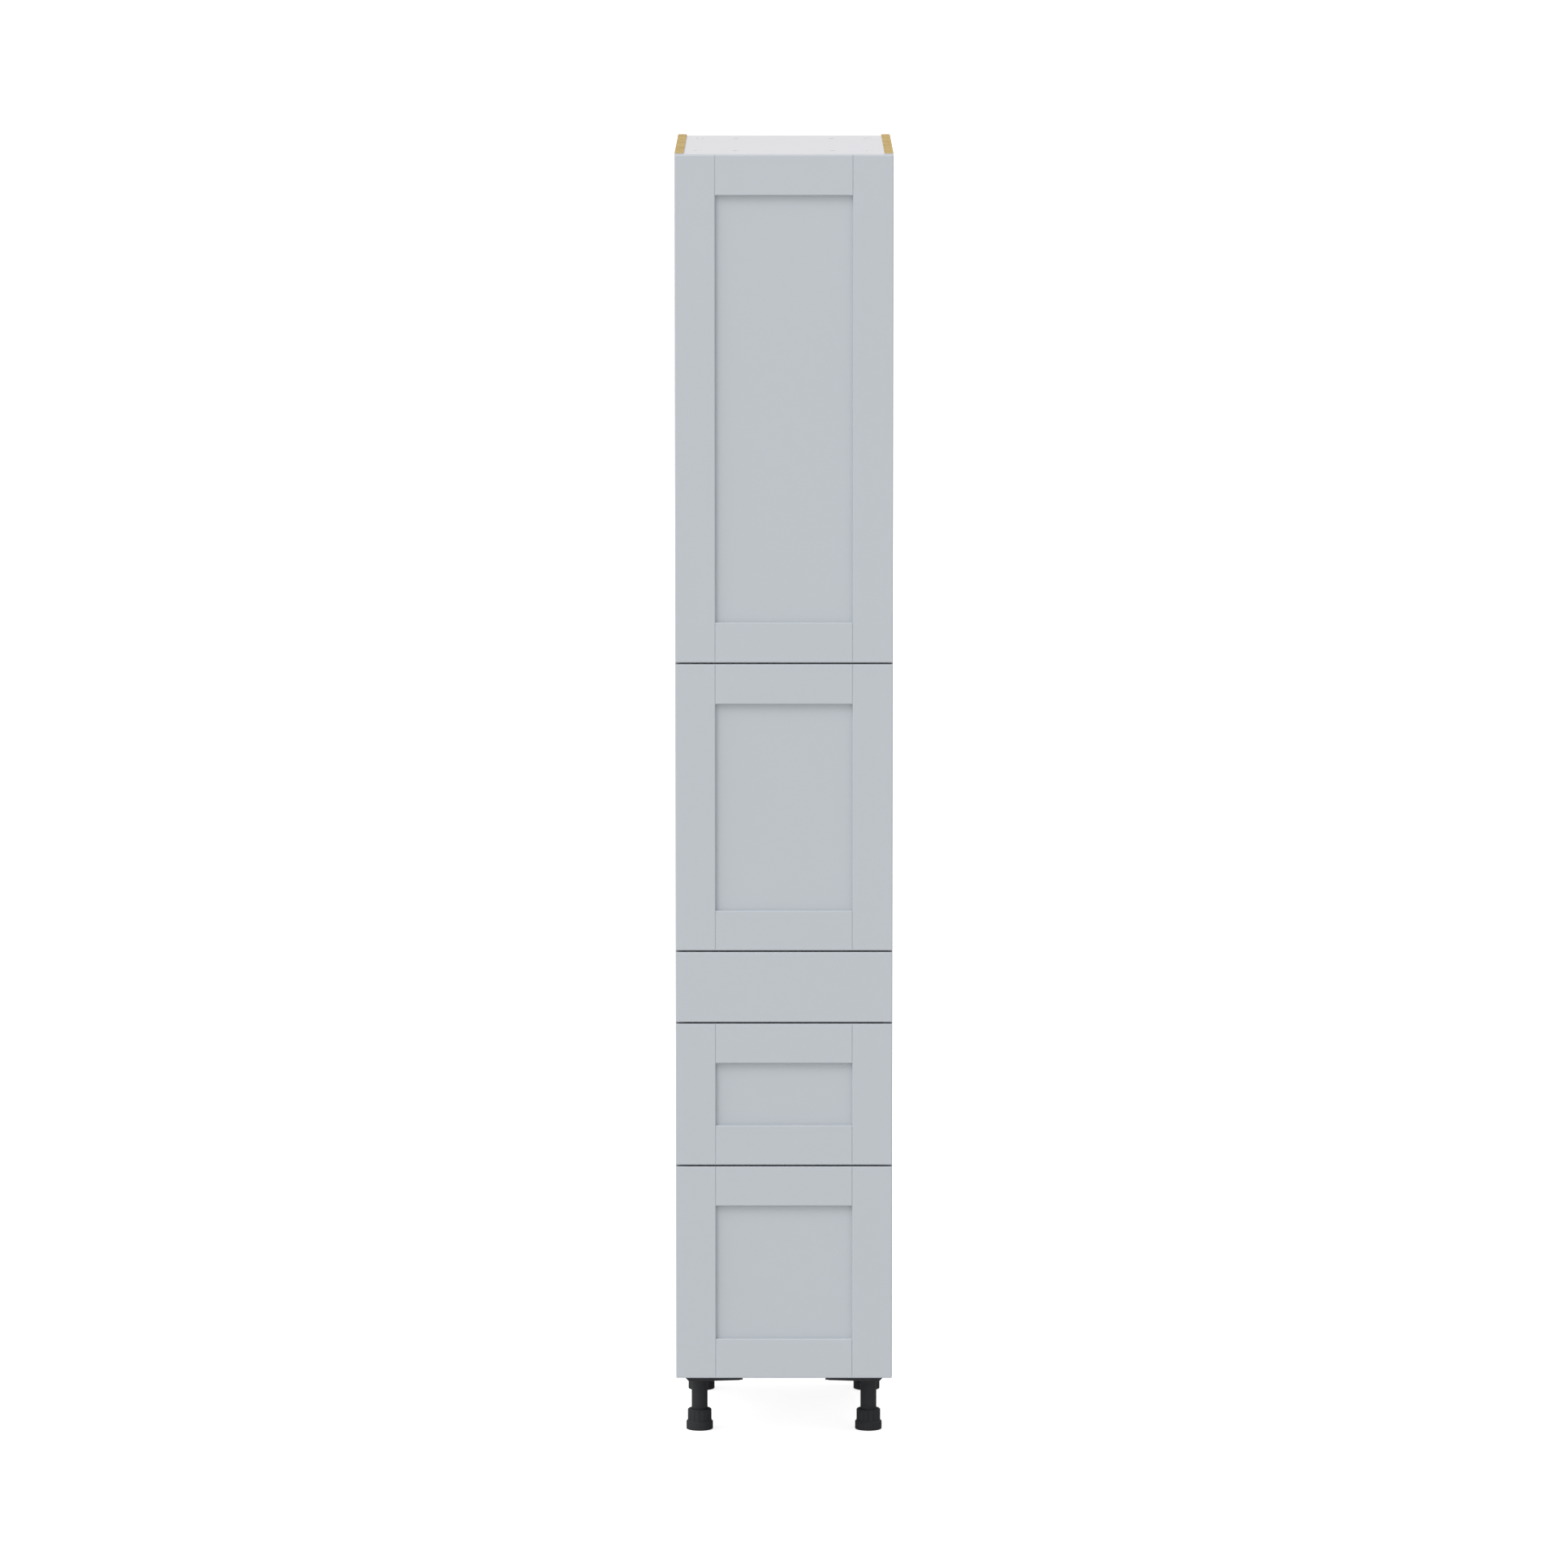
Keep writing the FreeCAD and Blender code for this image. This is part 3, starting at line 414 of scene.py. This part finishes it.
def chip_group():
    """Sawn particleboard: flat chips laid across the edge, with dark gaps between them.

    The tone is (chip share * grey of the cell + layer share * layers) * shade of the gap, and
    the colour goes from dark to light as tone * density rises.
    """
    tree, given, result = new_group(
        "sawn_chips",
        [("Place", "Vector", None), ("Light", "Color", WHITE), ("Dark", "Color", BLACK),
         ("Chip scale", "Float", 700.0)],
        [("Color", "Color"), ("Height", "Float")])
    chip_stretch, layer_stretch = (0.22, 1.0, 0.35), (0.05, 1.0, 0.3)
    chip_share, layer_share = 0.55, 0.6
    layer_scale, density_scale = 260.0, 17.0
    place = given.outputs["Place"]
    flat = stretched(tree, place, chip_stretch)
    cells = add_node(tree, "ShaderNodeTexVoronoi", feature="F1")
    tree.links.new(flat, cells.inputs["Vector"])
    tree.links.new(given.outputs["Chip scale"], cells.inputs["Scale"])
    grey = add_node(tree, "ShaderNodeSeparateColor")
    tree.links.new(cells.outputs["Color"], grey.inputs[0])
    layers = noise(tree, stretched(tree, place, layer_stretch), layer_scale,
                   detail=3.0, roughness=0.6)
    pick = maths(tree, "ADD", maths(tree, "MULTIPLY", grey.outputs[0], chip_share),
                 maths(tree, "MULTIPLY", layers, layer_share), clamp=True)
    gap = spread(tree, cells.outputs["Distance"], 0.35, 0.75, to_low=1.0, to_high=0.7)
    tone = maths(tree, "MULTIPLY", pick, gap)
    density = spread(tree, noise(tree, place, density_scale, detail=1.0), 0.35, 0.65,
                     to_low=0.86, to_high=1.14)
    lightness = spread(tree, maths(tree, "MULTIPLY", tone, density), 0.1, 0.75)
    colour = mixed(tree, lightness, given.outputs["Dark"], given.outputs["Light"])
    tree.links.new(colour, result.inputs["Color"])
    tree.links.new(tone, result.inputs["Height"])
    return tree


def plating_group():
    """Plated sheet steel: faint rolled streaks along Y and a soft bloom.

    The bloom shades the colour, and roughness grows by streak share * (streaks - 0.5).
    """
    tree, given, result = new_group(
        "rolled_plating",
        [("Place", "Vector", None), ("Color", "Color", WHITE), ("Roughness", "Float", 0.3)],
        [("Color", "Color"), ("Roughness", "Float"), ("Height", "Float")])
    streak_stretch, streak_scale, streak_share = (1.0, 0.04, 1.0), 1400.0, 0.25
    bloom_scale = 60.0
    place = given.outputs["Place"]
    streaks = noise(tree, stretched(tree, place, streak_stretch), streak_scale,
                    detail=3.0, roughness=0.6)
    bloom = noise(tree, place, bloom_scale, detail=4.0, roughness=0.6)
    shade = spread(tree, bloom, 0.3, 0.7, to_low=0.9, to_high=1.05)
    colour = tinted(tree, given.outputs["Color"], shade)
    off = maths(tree, "MULTIPLY", maths(tree, "SUBTRACT", streaks, 0.5), streak_share)
    rough = maths(tree, "ADD", given.outputs["Roughness"], off)
    tree.links.new(colour, result.inputs["Color"])
    tree.links.new(rough, result.inputs["Roughness"])
    tree.links.new(streaks, result.inputs["Height"])
    return tree


GROUP_BUILDERS = {"surface_drift": drift_group, "sawn_chips": chip_group,
                  "rolled_plating": plating_group}


def group_named(name):
    """A shared node group, built when it is first asked for."""
    return bpy.data.node_groups.get(name) or GROUP_BUILDERS[name]()


def new_material(name):
    """A material with its tree, its Principled shader and its object coordinates."""
    material = bpy.data.materials.new(name)
    material.use_nodes = True
    tree = material.node_tree
    shader = next(node for node in tree.nodes if node.type == "BSDF_PRINCIPLED")
    place = add_node(tree, "ShaderNodeTexCoord", (-8, 0)).outputs["Object"]
    return material, tree, shader, place


def put_group(tree, name, place, **values):
    """A shared group set in a material; a value's name is its socket's, with _ for a space."""
    node = add_node(tree, "ShaderNodeGroup", (-4, 0), node_tree=group_named(name))
    tree.links.new(place, node.inputs["Place"])
    for label, value in values.items():
        feed(tree, node.inputs[label.replace("_", " ")], value)
    return node


def put_bump(tree, shader, height, depth):
    """Bump of a given depth in metres."""
    node = add_node(tree, "ShaderNodeBump", (-2, -2))
    node.inputs["Strength"].default_value = 1.0
    node.inputs["Distance"].default_value = depth
    tree.links.new(height, node.inputs["Height"])
    tree.links.new(node.outputs[0], shader.inputs["Normal"])


def drifted_material(name, colour, look):
    """A coated surface whose tint, roughness and level drift a little."""
    material, tree, shader, place = new_material(name)
    drift = put_group(tree, "surface_drift", place, Coarse_scale=look["coarse"],
                      Fine_scale=look["fine"], Tint=look["tint"],
                      Roughness_spread=look["rough_spread"])
    tree.links.new(tinted(tree, tuple(colour), drift.outputs["Tint"]), shader.inputs["Base Color"])
    rough = maths(tree, "ADD", drift.outputs["Roughness"], look["roughness"])
    tree.links.new(rough, shader.inputs["Roughness"])
    shader.inputs["Specular IOR Level"].default_value = look["specular"]
    put_bump(tree, shader, drift.outputs["Height"], look["bump"])
    return material


def board_material(name, finish, low, high, raw_faces):
    """Melamine on the faces, bands on the front edges, sawn chips on the raw faces named."""
    material, tree, shader, place = new_material(name)
    drift = put_group(tree, "surface_drift", place, Coarse_scale=2.5, Fine_scale=1200.0,
                      Tint=0.03, Roughness_spread=0.08)
    chips = put_group(tree, "sawn_chips", place, Light=(*finish.chip_light, 1),
                      Dark=(*finish.chip_dark, 1), Chip_scale=620.0)
    axes = add_node(tree, "ShaderNodeSeparateXYZ")
    tree.links.new(place, axes.inputs[0])
    _, depth, rise = axes.outputs
    raw = 0.0
    if "top" in raw_faces:
        raw = maths(tree, "GREATER_THAN", rise, high.z - SKIN)
    if "foot" in raw_faces:
        raw = maths(tree, "MAXIMUM", raw, maths(tree, "LESS_THAN", rise, low.z + SKIN))
    if "rear" in raw_faces:
        raw = maths(tree, "MAXIMUM", raw, maths(tree, "GREATER_THAN", depth, high.y - SKIN))
    banded = maths(tree, "LESS_THAN", depth, low.y + BAND)
    plain = tinted(tree, tuple(finish.board), drift.outputs["Tint"])
    faced = mixed(tree, banded, plain, (*finish.band, 1))
    bare = maths(tree, "MULTIPLY", raw, maths(tree, "SUBTRACT", 1.0, banded))
    colour = mixed(tree, bare, faced, chips.outputs["Color"])
    tree.links.new(colour, shader.inputs["Base Color"])
    satin = maths(tree, "ADD", drift.outputs["Roughness"], BOARD_ROUGHNESS)
    rough = maths(tree, "ADD", satin, maths(tree, "MULTIPLY", bare, SAWN_ROUGHER))
    tree.links.new(rough, shader.inputs["Roughness"])
    shader.inputs["Specular IOR Level"].default_value = BOARD_SPECULAR
    height = maths(tree, "ADD", maths(tree, "MULTIPLY", drift.outputs["Height"], BOARD_GRAIN),
                   maths(tree, "MULTIPLY", chips.outputs["Height"], bare))
    put_bump(tree, shader, height, SAWN_DEPTH)
    return material


def back_material(name, finish, rear):
    """Lacquer on the inside, bare brown fibres on the rear."""
    material, tree, shader, place = new_material(name)
    drift = put_group(tree, "surface_drift", place, Coarse_scale=3.0, Fine_scale=900.0,
                      Tint=0.03, Roughness_spread=0.1)
    fibre_stretch, fibre_scale, mottle_scale = (1.0, 1.0, 0.5), 420.0, 12.0
    fibres = noise(tree, stretched(tree, place, fibre_stretch), fibre_scale,
                   detail=5.0, roughness=0.7)
    mottle = noise(tree, place, mottle_scale, detail=4.0, roughness=0.6)
    axes = add_node(tree, "ShaderNodeSeparateXYZ")
    tree.links.new(place, axes.inputs[0])
    bare = maths(tree, "GREATER_THAN", axes.outputs[1], rear - SKIN)
    shade = maths(tree, "MULTIPLY", spread(tree, fibres, 0.3, 0.7, to_low=0.75, to_high=1.25),
                  spread(tree, mottle, 0.3, 0.7, to_low=0.9, to_high=1.1))
    brown = tinted(tree, tuple(finish.fibre), shade)
    lacquer = tinted(tree, tuple(finish.board), drift.outputs["Tint"])
    colour = mixed(tree, bare, lacquer, brown)
    tree.links.new(colour, shader.inputs["Base Color"])
    rough = maths(tree, "MULTIPLY_ADD", bare, FIBRE_ROUGHER, LACQUER_ROUGHNESS)
    tree.links.new(rough, shader.inputs["Roughness"])
    put_bump(tree, shader, maths(tree, "MULTIPLY", fibres, bare), FIBRE_DEPTH)
    return material


def metal_material(name, colour, roughness):
    """Plated or cast metal with rolled streaks."""
    material, tree, shader, place = new_material(name)
    shader.inputs["Metallic"].default_value = 1.0
    plating = put_group(tree, "rolled_plating", place, Color=(*colour, 1), Roughness=roughness)
    tree.links.new(plating.outputs["Color"], shader.inputs["Base Color"])
    tree.links.new(plating.outputs["Roughness"], shader.inputs["Roughness"])
    put_bump(tree, shader, plating.outputs["Height"], PLATING_DEPTH)
    return material


def dress(nodes, material):
    """Puts a material on CAD nodes."""
    for name in nodes:
        node = frame["nodes"][name]
        node.data.materials.clear()
        node.data.materials.append(material)


def nodes_in_slot(slot):
    """CAD nodes whose finish is that of a material slot."""
    return [part["node"] for part in frame["record"]["subparts"] if part["material_slot"] == slot]


def hinge_middles(door):
    """Heights of a door's two hinges."""
    low, high = BOX[door + "_hinge_links"]
    return [low.z + HINGE_LINK_HALF, high.z - HINGE_LINK_HALF]


# ---- operators -------------------------------------------------------------
class CABINET_OT_finish_fronts(bpy.types.Operator):
    """Satin foil on the doors and drawer fronts"""
    bl_idname = "cabinet.finish_fronts"
    bl_label = "Finish fronts"

    def execute(self, context):
        foil = drifted_material("front_foil", context.scene.cabinet_finish.front, FOIL_LOOK)
        dress(nodes_in_slot("front_foil"), foil)
        return {"FINISHED"}


class CABINET_OT_finish_boards(bpy.types.Operator):
    """Melamine, edge bands and sawn edges on the carcass, shelves and drawer boards"""
    bl_idname = "cabinet.finish_boards"
    bl_label = "Finish boards"

    def execute(self, context):
        finish = context.scene.cabinet_finish
        sides = board_material("side_board", finish, *SIDE, ("top", "foot", "rear"))
        dress(("side_panel_left", "side_panel_right"), sides)
        for name in DECKS + SHELVES:
            dress([name], board_material(name + "_board", finish, *BOX[name], ()))
        low, high = BOX["rear_rails"]
        dress(["rear_rails"], board_material("rail_board", finish, low - NO_BAND, high, ()))
        for drawer in DRAWERS:
            for board, raw_faces in (("_base_board", ()), ("_back_board", ("top",))):
                name = drawer + board
                low, high = BOX[name]
                dress([name], board_material(name, finish, low - NO_BAND, high, raw_faces))
        dress(["back_panel"], back_material("back_fibreboard", finish, BOX["back_panel"][1].y))
        return {"FINISHED"}


class CABINET_OT_finish_fittings(bpy.types.Operator):
    """Plating on runners, pins and hinges, and enamel on the drawer sides"""
    bl_idname = "cabinet.finish_fittings"
    bl_label = "Finish fittings"

    def execute(self, context):
        finish = context.scene.cabinet_finish
        zinc = metal_material("zinc_plate", finish.zinc, ZINC_ROUGHNESS)
        nickel = metal_material("nickel_plate", finish.nickel, NICKEL_ROUGHNESS)
        enamel = drifted_material("drawer_enamel", finish.enamel, ENAMEL_LOOK)
        dress(nodes_in_slot("zinc_steel"), zinc)
        dress(nodes_in_slot("hinge_steel"), nickel)
        dress(nodes_in_slot("white_steel"), enamel)
        return {"FINISHED"}


class CABINET_OT_finish_legs(bpy.types.Operator):
    """Grained black plastic on the legs"""
    bl_idname = "cabinet.finish_legs"
    bl_label = "Finish legs"

    def execute(self, context):
        plastic = drifted_material("leg_plastic", context.scene.cabinet_finish.plastic,
                                   PLASTIC_LOOK)
        dress(nodes_in_slot("black_plastic"), plastic)
        return {"FINISHED"}


class CABINET_OT_add_cams(bpy.types.Operator):
    """Cams with a cross recess in the pockets of the decks"""
    bl_idname = "cabinet.add_cams"
    bl_label = "Add cams"

    def execute(self, context):
        shape = cam_body(CAM_RADIUS, CAM_LENGTH, context.scene.cabinet_fittings.recess_depth)
        low, high = BOX["cam_locks"]
        xs = (low.x + CAM_RADIUS, high.x - CAM_RADIUS)
        ys = (low.y + CAM_RADIUS, high.y - CAM_RADIUS)
        groups = []
        for deck in DECKS:
            upward = deck == "top_panel"
            face = BOX[deck][1].z - CAM_SUNK if upward else BOX[deck][0].z + CAM_SUNK
            places = [(x, y, face) for x in xs for y in ys]
            groups.append(repeated(shape, places, (0, 0, 1 if upward else -1)))
        bright = metal_material("cast_zinc", context.scene.cabinet_finish.cast_zinc,
                                CAST_ZINC_ROUGHNESS)
        piece = new_piece("cam_faces", joined(groups), bright)
        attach(piece, "root")
        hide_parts("cam_locks")
        return {"FINISHED"}


class CABINET_OT_add_screws(bpy.types.Operator):
    """Cross-head screws in the hinges and the runners"""
    bl_idname = "cabinet.add_screws"
    bl_label = "Add screws"

    def execute(self, context):
        fittings = context.scene.cabinet_fittings
        head = screw_head(fittings.screw_radius, fittings.screw_rise)
        zinc = bpy.data.materials["zinc_plate"]
        fixed = []
        plates = BOX["hinge_plates"]
        plate_y = (plates[0].y + plates[1].y) / 2
        for door in DOORS:
            middles = hinge_middles(door)
            plate_places = [(PLATE_FACE_X, plate_y, z + side * PLATE_SCREW_RISE)
                            for z in middles for side in (-1, 1)]
            arm_places = [(ARM_FACE_X, plate_y + step, z)
                          for z in middles for step in ARM_SCREW_STEPS]
            fixed.append(repeated(head, plate_places + arm_places, (1, 0, 0)))
            cup_face = BOX[door + "_hinge_cups"][1].y
            cup_places = [(CUP_SCREW_X, cup_face, z + side * CUP_SCREW_RISE)
                          for z in middles for side in (-1, 1)]
            cups = new_piece(door + "_cup_screws", repeated(head, cup_places, (0, 1, 0)), zinc)
            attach(cups, door)
        rails = BOX["runner_rails"]
        run = rails[1].y - rails[0].y
        for drawer in DRAWERS:
            low, high = BOX[drawer + "_middle_runners"]
            z = (low.z + high.z) / 2
            for side in (-1, 1):
                face_x = side * (INNER_X - RUNNER_GAUGE)
                places = [(face_x, rails[0].y + share * run, z) for share in RUNNER_SCREW_SHARES]
                fixed.append(repeated(head, places, (-side, 0, 0)))
        piece = new_piece("fixing_screws", joined(fixed), zinc)
        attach(piece, "root")
        return {"FINISHED"}


class CABINET_OT_add_nails(bpy.types.Operator):
    """Nails that hold the back panel to the decks"""
    bl_idname = "cabinet.add_nails"
    bl_label = "Add nails"

    def execute(self, context):
        fittings = context.scene.cabinet_fittings
        head = nail_head(fittings.nail_radius, fittings.nail_rise)
        rear = BOX["back_panel"][1].y
        columns = np.linspace(-NAIL_SPREAD, NAIL_SPREAD, NAIL_COLUMNS) * INNER_X
        heights = [(BOX[deck][0].z + BOX[deck][1].z) / 2 for deck in NAILED_DECKS]
        places = [(x, rear, z) for z in heights for x in columns]
        piece = new_piece("back_nails", repeated(head, places, (0, 1, 0)),
                          bpy.data.materials["zinc_plate"], smooth=True)
        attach(piece, "root")
        return {"FINISHED"}


class CABINET_OT_build_stage(bpy.types.Operator):
    """Pale floor, soft light and the camera"""
    bl_idname = "cabinet.build_stage"
    bl_label = "Build stage"

    def execute(self, context):
        studio = context.scene.cabinet_studio
        build_floor()
        build_world(studio)
        build_key_lamp(studio)
        build_camera(studio)
        context.scene.view_settings.view_transform = "Standard"
        return {"FINISHED"}


# ---- stage -----------------------------------------------------------------
def build_floor():
    """A wide round floor, x = r cos(turn), y = r sin(turn), that keeps the cabinet's shadow."""
    r, turn = np.meshgrid(FLOOR_RINGS, FLOOR_TURNS, indexing="ij")
    points = np.stack([r * np.cos(turn), r * np.sin(turn), np.zeros_like(r)], axis=-1)
    faces = grid_faces(len(FLOOR_RINGS), len(FLOOR_TURNS))
    material, tree, shader, _ = new_material("studio_floor")
    shader.inputs["Base Color"].default_value = FLOOR_COLOUR
    shader.inputs["Roughness"].default_value = FLOOR_ROUGHNESS
    seen = add_node(tree, "ShaderNodeLightPath", (-4, 2)).outputs["Is Camera Ray"]
    tree.links.new(maths(tree, "MULTIPLY", seen, FLOOR_LIFT), shader.inputs["Emission Strength"])
    shader.inputs["Emission Color"].default_value = WHITE
    floor = new_piece("floor", (points.reshape(-1, 3), faces), material)


def build_world(studio):
    """White to the camera and in reflections.

    For the rest a soft light of strength surround * max(0, 1 + lean . direction).
    """
    world = bpy.data.worlds.new("studio")
    bpy.context.scene.world = world
    world.use_nodes = True
    tree = world.node_tree
    shader = tree.nodes["Background"]
    path = add_node(tree, "ShaderNodeLightPath", (-4, 0))
    mirrored = maths(tree, "MAXIMUM", path.outputs["Is Glossy Ray"],
                     path.outputs["Is Transmission Ray"])
    direct = maths(tree, "MAXIMUM", path.outputs["Is Camera Ray"], mirrored)
    toward = add_node(tree, "ShaderNodeVectorMath", (-8, -2), operation="DOT_PRODUCT")
    direction = add_node(tree, "ShaderNodeTexCoord", (-10, -2)).outputs["Generated"]
    tree.links.new(direction, toward.inputs[0])
    toward.inputs[1].default_value = studio.lean
    leaning = maths(tree, "MAXIMUM", maths(tree, "ADD", toward.outputs["Value"], 1.0), 0.0)
    soft = maths(tree, "MULTIPLY", leaning, studio.surround)
    rest = maths(tree, "SUBTRACT", 1.0, soft)
    tree.links.new(maths(tree, "MULTIPLY_ADD", direct, rest, soft), shader.inputs["Strength"])
    shader.inputs["Color"].default_value = WHITE


def build_key_lamp(studio):
    """A wide disc of light high at the left, turned to the fronts."""
    data = bpy.data.lights.new("key", "AREA")
    data.shape = "DISK"
    data.size = KEY_DIAMETER
    data.energy = KEY_WATTS * studio.key
    lamp = bpy.data.objects.new("key", data)
    lamp.location = KEY_PLACE
    toward = Vector(KEY_TARGET) - Vector(KEY_PLACE)
    lamp.rotation_euler = toward.to_track_quat("-Z", "Y").to_euler()
    bpy.context.scene.collection.objects.link(lamp)


def build_camera(studio):
    """In front of the middle, tilted down; the lens follows from the height in view."""
    data = bpy.data.cameras.new("camera")
    camera = bpy.data.objects.new("camera", data)
    aim = Vector((0.0, FRONT_FACE, studio.aim))
    camera.location = (0.0, FRONT_FACE - studio.distance, studio.height)
    camera.rotation_euler = (aim - camera.location).to_track_quat("-Z", "Y").to_euler()
    data.sensor_width = SENSOR_WIDTH
    data.lens = data.sensor_width * (aim - camera.location).length / studio.view_height
    data.clip_start, data.clip_end = CLIP_NEAR, CLIP_FAR
    bpy.context.scene.collection.objects.link(camera)
    bpy.context.scene.camera = camera


# ---- panel and registration ------------------------------------------------
OPERATORS = (CABINET_OT_finish_fronts, CABINET_OT_finish_boards, CABINET_OT_finish_fittings,
             CABINET_OT_finish_legs, CABINET_OT_add_cams, CABINET_OT_add_screws,
             CABINET_OT_add_nails, CABINET_OT_build_stage)
SETTINGS = {"cabinet_finish": CabinetFinish, "cabinet_fittings": CabinetFittings,
            "cabinet_studio": StudioSettings}


class CABINET_PT_pieces(bpy.types.Panel):
    """Buttons for the steps that finish the cabinet, add its fittings and build the stage, with
    their settings
    """
    bl_label = "Pantry cabinet"
    bl_space_type = "VIEW_3D"
    bl_region_type = "UI"
    bl_category = "Cabinet"

    def draw(self, context):
        for operator in OPERATORS:
            self.layout.operator(operator.bl_idname)
        for label, group in SETTINGS.items():
            for value in group.__annotations__:
                self.layout.prop(getattr(context.scene, label), value)


CLASSES = (*SETTINGS.values(), *OPERATORS, CABINET_PT_pieces)


def register():
    """Makes the classes known, and gives the scene its settings."""
    for item in CLASSES:
        bpy.utils.register_class(item)
    for label, group in SETTINGS.items():
        setattr(bpy.types.Scene, label, bpy.props.PointerProperty(type=group))


def unregister():
    """Takes back what register did."""
    for label in SETTINGS:
        delattr(bpy.types.Scene, label)
    for item in reversed(CLASSES):
        bpy.utils.unregister_class(item)


def main():
    """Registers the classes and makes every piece."""
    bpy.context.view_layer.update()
    register()
    for operator in OPERATORS:
        family, name = operator.bl_idname.split(".")
        getattr(getattr(bpy.ops, family), name)()


if __name__ == "__main__":
    main()
